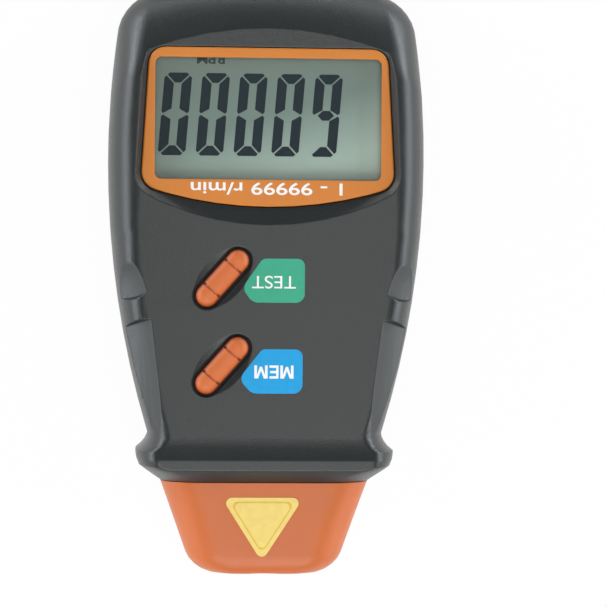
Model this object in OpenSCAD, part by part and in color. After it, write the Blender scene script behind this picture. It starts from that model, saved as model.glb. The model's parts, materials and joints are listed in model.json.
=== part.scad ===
// Hand-held laser tachometer, lying on its back with the nose towards -Y and the front face up.
// Millimetres. The origin is under the middle of the case, on the surface that the back rests on.

/* [Body] */
// Overall length, from the tail to the tip of the nose
overall_l = 131; // [126:1:140]
// Width across the widest point
body_w = 70; // [67:1:78]
// Distance from the tail to the widest point
widest_from_tail = 39.5; // [35:0.5:45]
// Radius of the bowed sides, seen from the front
side_r = 206; // [190:1:240]
// Radius of the bowed tail, seen from the front
tail_r = 110; // [100:1:140]
// Radius of the bowed line where the front face begins to fall away
brow_r = 62; // [58:1:75]
// Size across the body of each rounded tail corner
tail_corner_w = 6.5; // [4:0.5:8]
// Size along the body of each rounded tail corner
tail_corner_l = 5; // [3:0.5:6]
// Length over which the front face falls away to the tail
front_fall = 16; // [14:0.5:18]
// Length over which the back falls away to the tail
rear_fall = 6; // [4:0.5:8]
// Thickness of the shell walls
wall = 2; // [1.7:0.1:2.4]
// Width of the rounded shoulder beside the front face, at the widest point
front_shoulder = 7; // [5:0.5:8]
// Width of the same shoulder at the collar
waist_shoulder = 5.3; // [4:0.1:7]
// Height of the front shoulder
front_shoulder_h = 12; // [9:0.5:12.5]
// Width of the rounded edge beside the back
rear_shoulder = 5; // [3:0.5:7]
// Height of the rounded edge beside the back
rear_shoulder_h = 7; // [4:0.5:10]
// Height of the upright band on each side of the parting line
band = 1; // [0.6:0.1:1.6]

/* [Collar] */
// Width of the collar at its side corners
collar_w = 57; // [54:0.1:59]
// Narrowing of the collar's side band towards the nose, on each side
collar_narrowing = 0.8; // [0.4:0.1:1.2]
// Distance from the nose joint to the side corners
side_crest = 6.7; // [6:0.1:7.5]
// Length of the hollow flare from the waist to the side corners
side_flare = 3.9; // [3:0.1:5]
// Length of the bevel on the sides
side_bevel = 3.5; // [3.2:0.1:4.2]
// Height of the crest above the front face
collar_rise = 1.5; // [0.5:0.1:2.5]
// Distance from the nose joint to the crest
front_crest = 4.9; // [4.4:0.1:5.4]
// Length of the hollow slope from the front face up to the crest
front_flare = 5; // [4:0.1:6]
// Length of the bevel on the front and the back
front_bevel = 2.8; // [2.4:0.1:3.1]
// Fall of the crest's band towards the bevel
crest_fall = 0.2; // [0:0.05:0.4]

/* [Nose] */
// Length of the nose cap in front of the case
nose_l = 20.5; // [18:0.5:24]
// Width of the nose where it meets the case
nose_base_w = 46; // [43:0.5:49]
// Depth of the nose where it meets the case
nose_base_h = 23; // [21:0.5:24]
// Width of the nose at its tip, before the rounding
nose_tip_w = 31.4; // [30:0.1:36]
// Depth of the nose at its tip, before the rounding
nose_tip_h = 17.5; // [16.5:0.5:20]
// Size of the nose's long rounded edges
nose_corner = 9.5; // [7:0.5:10]
// Rounding of the tip, across
tip_round_w = 5; // [3:0.5:6]
// Rounding of the tip, lengthwise
tip_round_l = 4.5; // [3:0.5:6]
// Rounding of the tip, in depth
tip_round_h = 2.5; // [1.5:0.5:3]
// Thickness of the nose's end wall
tip_wall = 3; // [2.5:0.1:4]
// Length of the neck that passes through the case's mouth
neck_l = 1; // [0.8:0.1:1.5]
// Thickness of the flange that holds the nose in the case
nose_flange_t = 2; // [1.5:0.1:2.5]

/* [Display] */
// Distance from the tail to the middle of the display
display_from_tail = 31.4; // [30.5:0.1:33]
// Width of the visible display
view_w = 49.3; // [46:0.1:50]
// Height of the visible display
view_h = 26.5; // [24:0.1:27]
// Corner radius of the visible display
view_corner = 1.4; // [0.8:0.1:2]
// Width of the bezel at its tail edge
bezel_tail_w = 51.8; // [51.6:0.1:53]
// Width of the bezel at its nose corners
bezel_nose_w = 55.3; // [53.5:0.1:56]
// Border of the bezel on the tail side of the display
bezel_tail_border = 2.15; // [1.8:0.05:2.6]
// Border of the bezel on the nose side, at the middle
bezel_nose_border = 5.85; // [5:0.05:7]
// Radius of the bezel's bowed nose edge
bezel_bow_r = 87; // [70:1:110]
// Radius of the bezel's tail corners
bezel_tail_corner = 3.7; // [2:0.1:5]
// Radius of the bezel's nose corners
bezel_nose_corner = 4; // [2:0.1:5]
// Thickness of the bezel
bezel_t = 1.2; // [1:0.05:1.5]
// Height of the bezel above the pocket floor
bezel_proud = 0.2; // [0.1:0.05:0.4]
// Chamfer round the bezel's top edge
bezel_chamfer = 0.25; // [0.1:0.05:0.4]
// Depth of the pocket below the front face
pocket_d = 1.5; // [1:0.1:1.8]
// Flat floor of the pocket round the bezel
pocket_rim = 0.4; // [0.3:0.05:0.8]
// Run of the pocket's side slopes
pocket_side_run = 1; // [0.6:0.1:1.6]
// Run of the pocket's slope on the nose side, at the middle
pocket_nose_run = 3.7; // [3:0.1:5]
// Radius of the pocket's bowed nose edge
pocket_bow_r = 57; // [50:1:70]
// Thickness of the deck under the pocket
deck_t = 2; // [1.8:0.1:2.5]
// Margin of the window's opening behind the bezel
window_rim = 0.5; // [0.4:0.05:0.6]
// Thickness of the clear window
window_t = 0.6; // [0.4:0.05:0.8]
// Thickness of the display's front glass
front_glass_t = 1.1; // [0.7:0.1:1.3]
// Thickness of the display's rear glass
rear_glass_t = 0.9; // [0.7:0.1:1.1]
// Margin of the front glass beside the visible display
glass_side = 1.5; // [1.2:0.1:2]
// Margin of the front glass on the tail and nose sides
glass_end = 2; // [1.8:0.1:2.4]
// Width of a contact strip
strip_w = 1.8; // [1.4:0.1:2]
// Space between the board and the rear glass
glass_gap = 1.4; // [1.2:0.1:2]

/* [Keys] */
// Length of a key
key_l = 15.2; // [13:0.1:16]
// Width of a key
key_w = 5; // [4.4:0.1:5.4]
// Turn of the keys from the crosswise direction
key_angle = 48.6; // [40:0.1:55]
// Distance of the keys from the centre line
key_offset = 9.8; // [8:0.1:11]
// Distance from the tail to the middle of the test key
test_from_tail = 66.1; // [64.5:0.1:68]
// Distance between the two keys
key_pitch = 18.9; // [18:0.1:20]
// Height of a key above the front face
key_proud = 1.3; // [0.8:0.1:1.8]
// Gap between a key and its slot
key_gap = 0.55; // [0.4:0.05:0.7]
// Travel of a key
key_travel = 0.5; // [0.3:0.05:0.6]
// Distance of each cross groove from the middle of a key
groove_offset = 3.45; // [2.5:0.05:4]
// Width of a cross groove
groove_w = 0.55; // [0.4:0.05:0.8]
// Depth of a cross groove
groove_d = 0.35; // [0.2:0.05:0.5]
// Length of the finger dish round a key
dish_l = 16; // [14:0.1:18]
// Width of the finger dish
dish_w = 9.4; // [8:0.1:10]
// Depth of the finger dish
dish_d = 0.9; // [0.5:0.1:1.1]
// Thickness of the flange under a key
key_flange_t = 1; // [0.8:0.1:1.2]
// Overhang of the flange past the slot
key_flange_rim = 0.9; // [0.6:0.1:1.2]

/* [Grips] */
// Distance from the tail to the deepest point of the grip rib's hollow tail side
rib_from_tail = 72; // [71:0.1:73]
// Width of the grip rib there
rib_w = 3.1; // [2.5:0.1:4]
// Radius of the rib's hollow tail side
rib_hollow_r = 8.4; // [7.8:0.1:10]
// Radius of the rib's bowed nose side
rib_bow_r = 60; // [40:1:80]
// Lean of the rib's sides from upright
rib_lean = 14; // [8:1:18]
// Length of the scoop on the nose side
nose_scoop_l = 22.5; // [18:0.5:23]
// Depth of the scoops beside the rib
scoop_d = 1.8; // [0.8:0.1:2]
// Hollow radius of the scoops
scoop_r = 30; // [25:1:45]
// Extra width of the rounding inside the case, which thickens the wall behind the scoops
grip_wall = 2; // [1.5:0.1:3]

/* [Battery and door] */
// Width of the nine-volt battery
battery_w = 26.2; // [25:0.1:26.5]
// Length of the battery without its terminals
battery_l = 45.7; // [44:0.1:46]
// Thickness of the battery
battery_t = 16.6; // [15.5:0.1:17.5]
// Edge radius of the battery
battery_edge = 2; // [1:0.1:3]
// Distance from the tail to the battery
battery_from_tail = 5.4; // [5:0.1:6]
// Spacing of the two terminals
terminal_pitch = 12.7; // [12.5:0.1:12.9]
// Height of the terminals
terminal_h = 2.8; // [2.4:0.1:3]
// Radius of the small terminal
stud_r = 2.9; // [2.6:0.1:3]
// Radius of the large terminal
socket_r = 4.2; // [4:0.1:4.4]
// Thickness of the battery snap
snap_t = 4.8; // [4.2:0.1:5.5]
// Depth of the battery snap across its face
snap_h = 12.5; // [11:0.1:14]
// Radius of a battery lead
lead_r = 0.7; // [0.5:0.05:0.9]
// Width of the battery door
door_w = 32; // [31:0.1:34]
// How far the door lies inside the back
door_inset = 0.2; // [0.1:0.05:0.3]
// Width of the door's side tongues
tongue_w = 1.2; // [0.8:0.1:1.5]
// Thickness of the door's tongues
tongue_t = 0.7; // [0.5:0.05:0.8]
// Length of the tongue at the door's nose end
end_tongue_l = 1.6; // [1:0.1:2]
// Thickness of the ledge that the door slides under
ledge_t = 1.8; // [1.4:0.1:2.2]
// Height of the battery bay's walls above the back
bay_h = 11.5; // [8:0.5:12]
// Thickness of the battery bay's walls
bay_wall = 1.4; // [1:0.1:1.8]
// Number of grip grooves on the door
door_grooves = 5; // [3:1:6]
// Spacing of the grip grooves
door_groove_pitch = 2; // [1.6:0.1:2.4]
// Width and depth of a grip groove
door_groove = 0.7; // [0.4:0.1:1]

/* [Boards] */
// Thickness of the circuit boards
board_t = 1.2; // [1:0.1:1.6]
// Width of the main board under the display
board_w = 53; // [51:0.5:54]
// Width of the main board under the keys
board_mid_w = 40; // [36:0.5:42]
// Width of the main board at the nose
board_nose_w = 25; // [20:0.5:26]
// Width of a switch body
switch_w = 6; // [5:0.1:6.2]
// Height of a switch body
switch_h = 2.4; // [2:0.1:2.6]
// Radius of a switch plunger
plunger_r = 1.7; // [1.5:0.1:2]
// Width of the controller chip
chip_w = 12; // [10:0.5:14]
// Thickness of the controller chip
chip_t = 1; // [0.8:0.1:1.1]
// Length of the crystal can
crystal_l = 10; // [8:0.5:11]
// Width of the crystal can
crystal_w = 4.4; // [3.5:0.1:4.8]
// Height of the crystal can
crystal_h = 3.4; // [3:0.1:3.8]
// Radius of the capacitor
capacitor_r = 3.1; // [2.5:0.1:3.5]
// Height of the capacitor
capacitor_h = 7; // [5:0.5:8]

/* [Optics] */
// Radius of the receiver lens
lens_r = 6; // [5:0.1:6.2]
// Edge thickness of the lens
lens_edge = 1.4; // [1:0.1:1.8]
// Height of the lens's domed face
lens_dome = 0.8; // [0.6:0.1:1]
// Radius of the chamfered lens mouth at the tip
mouth_r = 7.1; // [6.8:0.1:7.3]
// Depth of the lens mouth's chamfer
mouth_d = 0.9; // [0.6:0.1:1]
// Wall of the lens tube
tube_wall = 0.7; // [0.5:0.1:0.9]
// How far the tube's front edge laps behind the lens
tube_lap = 0.6; // [0.4:0.1:1]
// Distance of the laser from the lens's axis
laser_offset = 10; // [9.9:0.1:10.6]
// Radius of the laser barrel
laser_r = 2.9; // [2.6:0.1:3]
// Radius of the laser aperture
aperture_r = 1.7; // [1.4:0.1:2]
// Radius of the photo sensor
sensor_r = 2.5; // [2:0.1:3]
// Length of the photo sensor
sensor_l = 8.6; // [7:0.1:10]
// Thickness of the optics carrier
carrier_t = 2.5; // [2:0.1:3.5]
// Distance of the carrier from the nose's base
carrier_depth = 9; // [6:0.5:12]
// Width of the optics board
optics_board_w = 34; // [30:0.5:38]
// Depth of the optics board
optics_board_h = 14.6; // [13:0.1:16]

/* [Screws] */
// Distance of the tail case screws from the centre line
tail_screw_x = 22; // [21:0.5:23]
// Distance from the tail to the tail case screws
tail_screw_from_tail = 11.4; // [11.2:0.1:12]
// Distance of the nose case screws from the centre line
nose_screw_x = 18.5; // [18:0.1:19]
// Distance from the collar's side corners to the nose case screws
nose_screw_from_crest = 7.4; // [6.6:0.1:8.1]
// Radius of a case screw's shank
screw_r = 1.4; // [1.2:0.05:1.5]
// Radius of a case screw's head
screw_head_r = 2.6; // [2.3:0.1:2.8]
// Height of a case screw's head
screw_head_h = 1.9; // [1.5:0.1:2.2]
// Depth from the back to the seat of the case screws
screw_seat = 7; // [5:0.1:8]
// Length of a case screw in the front shell
screw_grip = 8; // [6:0.1:8.4]
// Wall of a screw boss round its hole
boss_wall = 1.4; // [1.1:0.1:1.6]
// Distance of the side board screws from the centre line
post_x = 23.7; // [23:0.1:24]
// Radius of a board screw's shank
board_screw_r = 1; // [0.8:0.05:1.1]
// Radius of a board screw's head
board_screw_head_r = 2; // [1.7:0.1:2.2]
// Height of a board screw's head
board_screw_head_h = 1.3; // [1:0.1:1.5]
// Length of a board screw in its post
board_screw_grip = 4; // [3:0.1:4.2]

/* [Fits] */
// Gap between fixed pieces that fit together
fit = 0.2; // [0.1:0.05:0.3]
// Gap between fixed pieces stacked on each other
seat = 0.1; // [0.05:0.05:0.2]
// Gap round the sliding door and the moving keys
slide_gap = 0.15; // [0.1:0.05:0.25]
// Gap round screws and barrels
bore_gap = 0.05; // [0.03:0.01:0.08]

/* [Hidden] */
$fn = 48;

// Colours
case_grey = [0.27, 0.28, 0.28];
nose_orange = [0.80, 0.46, 0.27];
bezel_orange = [0.87, 0.53, 0.24];
key_orange = [0.88, 0.49, 0.27];
glass_green = [0.50, 0.58, 0.53];
board_green = [0.10, 0.35, 0.20];
moulded_black = [0.08, 0.08, 0.09];

// Heights, stacked up from the back
door_top = door_inset + wall;
battery_z = door_top + fit + seat;
board_z = battery_z + battery_t + fit + seat;
board_top = board_z + board_t;
glass_z = board_top + glass_gap;
deck_z = glass_z + rear_glass_t + front_glass_t + seat;
pocket_z = deck_z + deck_t;
front_z = pocket_z + pocket_d;
crest_z = front_z + collar_rise;
parting_z = front_z / 2;
ceiling_z = front_z - wall;

// Places along the body
tail_y = overall_l / 2;
tip_y = -overall_l / 2;
joint_y = tip_y + nose_l;
side_crest_y = joint_y + side_crest;
side_bevel_y = joint_y + side_bevel;
waist_y = side_crest_y + side_flare;
front_crest_y = joint_y + front_crest;
front_bevel_y = joint_y + front_bevel;
front_flare_y = front_crest_y + front_flare;
widest_y = tail_y - widest_from_tail;
fall_y = tail_y - front_fall;
rear_fall_y = tail_y - rear_fall;
corner_y = tail_y - tail_corner_l;
display_y = tail_y - display_from_tail;
bezel_tail_y = display_y + view_h / 2 + bezel_tail_border;
bezel_nose_y = display_y - view_h / 2 - bezel_nose_border;
pocket_nose_y = bezel_nose_y - pocket_rim - pocket_nose_run;
deck_y = pocket_nose_y - wall;
glass_w = view_w + 2 * glass_side;
glass_h = view_h + 2 * glass_end;
// The deck stays level as far as the corners of the display's glass
deck_tail_y = display_y + glass_h / 2 + fit + glass_w * glass_w / 4 / (2 * tail_r);
// Run of the step from the ceiling down to the display's deck, and the deck's own rounding inside
deck_step = 1.5;
deck_shoulder = 3.5;
deck_shoulder_h = 6;
test_y = tail_y - test_from_tail;
mem_y = test_y - key_pitch;
rib_tail_y = tail_y - rib_from_tail;
rib_nose_y = rib_tail_y - rib_w;
battery_y = tail_y - battery_from_tail - battery_l;
snap_y = battery_y - seat - snap_t;
bay_y = snap_y - fit;
bay_tail_y = battery_y + battery_l + fit;
door_y = bay_y - bay_wall;
tail_screw_y = tail_y - tail_screw_from_tail;
nose_screw_y = side_crest_y + nose_screw_from_crest;
flange_y = joint_y + neck_l + nose_flange_t;
optics_board_y = flange_y + seat;
board_nose_y = optics_board_y + board_t + seat;
tube_y = tip_y + tip_wall + seat;

// Overlap that makes a cut or a join clean
eps = 1;

// Powers of the collar's curves: 1 is straight, and more makes a hollow flare or a rounded bevel
side_hollow = 2;
front_hollow = 1.4;
bevel_roundness = 1.15;

// Soft start of the fall to the tail, as a part of its length
fall_start = 0.1;

// Steps of the case's lofted surface, and the least distance between two of its stations
bevel_steps = 6;
flare_steps = 6;
side_steps = 6;
display_steps = 4;
tail_steps = 12;
least_step = 0.12;
shoulder_steps = 9;
flat_steps = 4;
tip_steps = 5;
nose_steps = 3;

// Curves of the case

function mix(a, b, t) = a + (b - a) * t;
function ease(t) = t * t * (3 - 2 * t);
function within(t) = max(0, min(1, t));
function share(y, from, to) = within((y - from) / (to - from));
function fall(y, start, length) = sqrt(max(0, 1 - pow(max(0, y - start) / length, 2)));

// Height that is left of the front on its way to the tail: level, then a slope that steepens to upright
function tail_fall(t) = sqrt(max(0, 1 - (1 + fall_start) * t * t / (t + fall_start)));

// Half width of the bowed sides alone
function side_half(y) = body_w / 2 - side_r + sqrt(side_r * side_r - pow(y - widest_y, 2));

// How strongly a cross line bends: outside towards the brow and then the tail, inside towards the tail
function bend(y) = ease(share(y, deck_y, fall_y));
function outer_bow(y) = bend(y) * mix(1 / brow_r, 1 / tail_r, share(y, fall_y, tail_y)) / 2;
function inner_bow(y) = bend(y) / tail_r / 2;
function corner_cut(y) = tail_corner_w * (1 - fall(y, corner_y, tail_corner_l));

// Half width of the case at the parting line, for a cross line with a given bow
function plan_half(y, bow) =
    y >= waist_y ? side_half(y - bow * pow(side_half(y), 2)) - corner_cut(y)
    : y >= side_crest_y
        ? mix(side_half(waist_y), collar_w / 2, pow(share(y, waist_y, side_crest_y), side_hollow))
    : y >= side_bevel_y ? collar_w / 2 - collar_narrowing * pow(share(y, side_crest_y, side_bevel_y), 2)
    : mix(collar_w / 2 - collar_narrowing, nose_base_w / 2, share(y, side_bevel_y, joint_y));

// Height of the front and depth of the back, from the parting line
function front_h(y) =
    y >= front_flare_y ? band + (front_z - parting_z - band) * tail_fall(share(y, fall_y, tail_y))
    : y >= front_crest_y
        ? front_z - parting_z + collar_rise * pow(share(y, front_flare_y, front_crest_y), front_hollow)
    : y >= front_bevel_y ? crest_z - parting_z - crest_fall * share(y, front_crest_y, front_bevel_y)
    : mix(crest_z - parting_z - crest_fall, nose_base_h / 2,
          pow(share(y, front_bevel_y, joint_y), bevel_roundness));
function rear_h(y) =
    y >= front_bevel_y ? band + (parting_z - band) * fall(y, rear_fall_y, rear_fall)
    : mix(parting_z, nose_base_h / 2, pow(share(y, front_bevel_y, joint_y), bevel_roundness));

// The same inside the walls; the display's deck lies lower than the rest of the ceiling
function on_deck(y) = y > deck_y + deck_step / 2;
function front_inner_h(y) =
    on_deck(y) ? band + (deck_z - parting_z - band) * tail_fall(share(y, fall_y, tail_y))
    : front_h(y) - wall;
function rear_inner_h(y) =
    y >= rear_fall_y ? band + (parting_z - wall - band) * fall(y, rear_fall_y, rear_fall)
    : rear_h(y) - wall;
function inner_y(y) = y < fall_y ? y : mix(deck_tail_y, tail_y - wall, share(y, fall_y, tail_y));

// Width and height of the rounded shoulders
function bevel_t(y) = share(y, side_bevel_y, joint_y);
function front_a(y) =
    mix(mix(front_shoulder, waist_shoulder, share(y, widest_y, side_crest_y)), nose_corner, bevel_t(y));
function front_b(y) = mix(front_shoulder_h, nose_corner, bevel_t(y));
function rear_a(y) = mix(rear_shoulder, nose_corner, bevel_t(y));
function rear_b(y) = mix(rear_shoulder_h, nose_corner, bevel_t(y));

// Half of a cross-section, from the left edge over the shoulders to the right edge
function half_ring(w, h, a, b_most) =
    let (b = min(b_most, h - band),
         right = concat([[w, 0]],
                        [for (i = [0:shoulder_steps]) let (q = 90 * i / shoulder_steps)
                            [w - a + a * cos(q), h - b + b * sin(q)]],
                        [for (i = [1:flat_steps]) [(w - a) * (1 - i / flat_steps), h]]))
    concat([for (p = right) [-p.x, p.y]], [for (i = [len(right) - 2:-1:0]) right[i]]);

// Section of the case at a station; side is 1 for the front and -1 for the back
function outer_section(y, side) =
    let (w = plan_half(y, outer_bow(y)))
    side > 0 ? half_ring(w, front_h(y), front_a(y), front_b(y))
    : half_ring(w, rear_h(y), rear_a(y), rear_b(y));
function inner_section(y, side, gap = 0) =
    let (w = plan_half(y, inner_bow(y)) - wall - gap)
    side > 0 && on_deck(y) ? half_ring(w, front_inner_h(y) - gap, deck_shoulder, deck_shoulder_h)
    : side > 0 ? half_ring(w, front_inner_h(y) - gap, front_a(y) + grip_wall, front_b(y))
    : half_ring(w, rear_inner_h(y) - gap, rear_a(y), rear_b(y));

// A section bent to the tail's bow, as points; flat drops it onto the parting plane
function bent(section, y, bow, side, flat = false) =
    [for (p = section) [p.x, y - bow * p.x * p.x, parting_z + (flat ? 0 : side * p.y)]];

// Numbers in rising order; of those that lie too close together, the first in the list stays
function rising(list) =
    len(list) == 0 ? []
    : concat(rising([for (v = list) if (v <= list[0] - least_step) v]), [list[0]],
             rising([for (v = list) if (v >= list[0] + least_step) v]));

stations = rising(concat(
    [joint_y, front_bevel_y, side_bevel_y, front_crest_y, side_crest_y, front_flare_y, waist_y],
    [deck_y, deck_y + deck_step, fall_y, tail_y],
    [for (i = [1:bevel_steps]) mix(joint_y, side_bevel_y, i / bevel_steps)],
    [for (i = [1:flare_steps]) mix(front_crest_y, waist_y, i / flare_steps)],
    [for (i = [1:side_steps]) mix(waist_y, deck_y, i / side_steps)],
    [for (i = [1:display_steps]) mix(deck_y + deck_step, fall_y, i / display_steps)],
    [for (i = [1:tail_steps - 1]) fall_y + front_fall * sin(90 * i / tail_steps)]));

function outer_rows(side, places) = concat(
    [for (y = places) bent(outer_section(y, side), y, outer_bow(y), side)],
    [bent(outer_section(tail_y, side), tail_y, outer_bow(tail_y), side, true)]);
function inner_rows(side, places) = concat(
    [for (y = places) bent(inner_section(y, side), inner_y(y), inner_bow(y), side)],
    [bent(inner_section(tail_y, side), inner_y(tail_y), inner_bow(tail_y), side, true)]);

function joined(lists) = [for (list = lists) for (item = list) item];
function real_face(f) = f[0] != f[1] && f[1] != f[2] && f[2] != f[0];
function turned(faces, side) = side > 0 ? faces : [for (f = faces) [f[0], f[2], f[1]]];
function quad(a, b, c, d) = [[a, b, c], [a, c, d]];

// One half of the case: an outer and an inner skin of rows, closed along the parting plane and at the mouth
module half_shell(side, places = stations) {
    outer = outer_rows(side, places);
    inner = inner_rows(side, places);
    rows = len(outer);
    cols = len(outer[0]);
    // The last row's ends are the same points as those of the row before it
    function at(layer, i, j) =
        layer * rows * cols + (i == rows - 1 && (j == 0 || j == cols - 1) ? i - 1 : i) * cols + j;
    faces = concat(
        joined([for (i = [0:rows - 2]) for (j = [0:cols - 2])
            quad(at(0, i, j), at(0, i + 1, j), at(0, i + 1, j + 1), at(0, i, j + 1))]),
        joined([for (i = [0:rows - 2]) for (j = [0:cols - 2])
            quad(at(1, i, j), at(1, i, j + 1), at(1, i + 1, j + 1), at(1, i + 1, j))]),
        joined([for (i = [0:rows - 2])
            quad(at(0, i + 1, 0), at(0, i, 0), at(1, i, 0), at(1, i + 1, 0))]),
        joined([for (i = [0:rows - 2])
            quad(at(0, i, cols - 1), at(0, i + 1, cols - 1), at(1, i + 1, cols - 1), at(1, i, cols - 1))]),
        joined([for (j = [0:cols - 2])
            quad(at(0, 0, j), at(0, 0, j + 1), at(1, 0, j + 1), at(1, 0, j))]),
        joined([for (j = [0:cols - 2])
            quad(at(0, rows - 1, j + 1), at(0, rows - 1, j), at(1, rows - 1, j), at(1, rows - 1, j + 1))]));
    polyhedron(points = concat(joined(outer), joined(inner)),
               faces = turned([for (f = faces) if (real_face(f)) f], side));
}

// A closed solid through a row of rings, each with the same number of points
module skin(rings) {
    n = len(rings[0]);
    last = len(rings) - 1;
    sides = joined([for (r = [0:last - 1]) for (j = [0:n - 1]) let (k = (j + 1) % n)
        quad(r * n + j, (r + 1) * n + j, (r + 1) * n + k, r * n + k)]);
    polyhedron(points = joined(rings),
               faces = concat([[for (j = [0:n - 1]) j]], sides, [[for (j = [n - 1:-1:0]) last * n + j]]));
}

// A whole ring from a front half and a back half, at one place along the body
function whole_ring(front, rear, y) = concat(
    [for (p = front) [p.x, y, parting_z + p.y]],
    [for (i = [len(rear) - 2:-1:1]) [rear[i].x, y, parting_z - rear[i].y]]);
function nose_ring(y, inset, cut = 0) =
    let (t = (joint_y - y) / nose_l,
         w = mix(nose_base_w, nose_tip_w, t) / 2 - inset - tip_round_w * cut,
         h = mix(nose_base_h, nose_tip_h, t) / 2 - inset - tip_round_h * cut,
         a = min(nose_corner, h - band),
         half = half_ring(w, h, a, a))
    whole_ring(half, half, y);
function case_ring(section_y, gap, y) =
    whole_ring(inner_section(section_y, 1, gap), inner_section(section_y, -1, gap), y);

// Outlines

// A polygon's corners rounded by arcs, one radius to each corner
function arc_at(p, before, after, r, steps) =
    let (u = (before - p) / norm(before - p),
         v = (after - p) / norm(after - p),
         half = acos(u * v) / 2,
         mid = p + (u + v) / norm(u + v) * r / sin(half),
         from = p + u * r / tan(half) - mid,
         to = p + v * r / tan(half) - mid,
         q0 = atan2(from.y, from.x),
         turn = atan2(from.x * to.y - from.y * to.x, from * to))
    [for (i = [0:steps]) mid + r * [cos(q0 + turn * i / steps), sin(q0 + turn * i / steps)]];
function rounded(points, radii, steps = 6) =
    let (n = len(points))
    joined([for (i = [0:n - 1])
        radii[i] <= 0 ? [points[i]]
        : arc_at(points[i], points[(i + n - 1) % n], points[(i + 1) % n], radii[i], steps)]);
function rectangle(w, h, r) =
    rounded([[w / 2, h / 2], [-w / 2, h / 2], [-w / 2, -h / 2], [w / 2, -h / 2]], [r, r, r, r]);

function view_outline(grow) = rectangle(view_w + 2 * grow, view_h + 2 * grow, view_corner + grow);

// The bezel's outline: a straight tail edge, sides that widen and a bowed nose edge
bow_steps = 5;
function bow_y(x, nose_y, r) = nose_y + r - sqrt(r * r - x * x);
bezel_side_l = bezel_tail_y - bow_y(bezel_nose_w / 2, bezel_nose_y, bezel_bow_r);
function bezel_outline(grow, edge_y, nose_y, bow_r, nose_w) =
    let (slope = (bezel_nose_w - bezel_tail_w) / 2 / bezel_side_l,
         tail_half = bezel_tail_w / 2 + grow - slope * (edge_y - bezel_tail_y),
         half = nose_w / 2,
         bow = [for (i = [-bow_steps:bow_steps]) let (x = half * i / bow_steps) [x, bow_y(x, nose_y, bow_r)]],
         flat = [for (i = [1:2 * bow_steps - 1]) 0])
    rounded(concat([[tail_half, edge_y], [-tail_half, edge_y]], bow),
            concat([bezel_tail_corner + grow, bezel_tail_corner + grow],
                   [bezel_nose_corner + grow], flat, [bezel_nose_corner + grow]));
function grown_bezel(grow) =
    bezel_outline(grow, bezel_tail_y + grow, bezel_nose_y - grow, bezel_bow_r + grow,
                  bezel_nose_w + 2 * grow);
function pocket_outline(grow, nose_y, bow_r) =
    bezel_outline(grow, tail_y + front_fall, nose_y, bow_r, bezel_nose_w + 2 * grow);

module plate(points, z, t) {
    translate([0, 0, z]) linear_extrude(t) polygon(points);
}

module at_display() {
    translate([0, display_y, 0]) children();
}

// An upright bar with round ends
module pill(l, w, z, h) {
    translate([0, 0, z + h / 2]) cube([l - w, w, h], center = true);
    for (s = [-1, 1]) translate([s * (l - w) / 2, 0, z]) cylinder(d = w, h = h);
}

module at_key(y) {
    translate([-key_offset, y, 0]) rotate(key_angle) children();
}

// Turns a child that stands along Z so that it runs from one point to another
module along(from, to) {
    way = to - from;
    translate(from) rotate([0, acos(way.z / norm(way)), atan2(way.y, way.x)]) children();
}

// Lies along -Y to +Y, with its foot at y, on the nose's axis
module down_axis(x, y) {
    translate([x, y, parting_z]) rotate([-90, 0, 0]) children();
}

module at_case_screws() {
    for (s = [-1, 1]) {
        translate([s * tail_screw_x, tail_screw_y, 0]) children();
        translate([s * nose_screw_x, nose_screw_y, 0]) children();
    }
}

module at_board_screws() {
    for (place = board_screw_places) translate([place.x, place.y, 0]) children();
}

screw_bore_r = screw_r + bore_gap;
head_bore_r = screw_head_r + fit;
front_boss_r = screw_bore_r + boss_wall;
rear_boss_r = head_bore_r + boss_wall;
board_screw_bore_r = board_screw_r + bore_gap;
post_r = board_screw_bore_r + boss_wall;
side_post_y = deck_y - post_r - fit;
nose_post_y = waist_y + post_r;
board_screw_places = [[post_x, side_post_y], [-post_x, side_post_y], [0, nose_post_y]];

// Front shell

// How far a boss runs into the wall that carries it
boss_root = wall / 4;

// The space inside the front half, grown a little into its walls
module front_core() {
    places = concat([waist_y], [for (y = stations) if (y >= deck_y) y]);
    skin(concat(
        [for (y = places) bent(inner_section(y, 1, -boss_root), inner_y(y), inner_bow(y), 1)],
        [bent(inner_section(tail_y, 1, -boss_root), tail_y, 0, 1)]));
}

// Bosses and posts run up to the ceiling, also where it slopes
module front_bosses() {
    intersection() {
        front_core();
        union() {
            at_case_screws() translate([0, 0, parting_z]) cylinder(r = front_boss_r, h = front_z);
            at_board_screws() translate([0, 0, board_top + seat]) cylinder(r = post_r, h = front_z);
        }
    }
}

module display_cut() {
    floor_outline = pocket_outline(pocket_rim, bezel_nose_y - pocket_rim, bezel_bow_r + pocket_rim);
    mouth_outline = pocket_outline(pocket_rim + pocket_side_run, pocket_nose_y, pocket_bow_r);
    hull() {
        plate(floor_outline, pocket_z, pocket_d / 2);
        plate(mouth_outline, front_z, eps);
    }
    plate(grown_bezel(fit), pocket_z + bezel_proud - bezel_t - seat, bezel_t);
    at_display() plate(view_outline(window_rim), deck_z - eps, deck_t + eps);
}

// Finger dish: the bottom of a lying ring, long along the key and narrow across it
module key_dish() {
    along_r = (dish_l * dish_l / 4 + dish_d * dish_d) / (2 * dish_d);
    across_r = (dish_w * dish_w / 4 + dish_d * dish_d) / (2 * dish_d);
    translate([0, 0, front_z - dish_d + along_r]) rotate([90, 0, 0])
        rotate_extrude() translate([along_r - across_r, 0]) circle(r = across_r);
}

module key_cut() {
    key_dish();
    pill(key_l + 2 * key_gap, key_w + 2 * key_gap, ceiling_z - eps, wall + 2 * eps);
}

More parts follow.
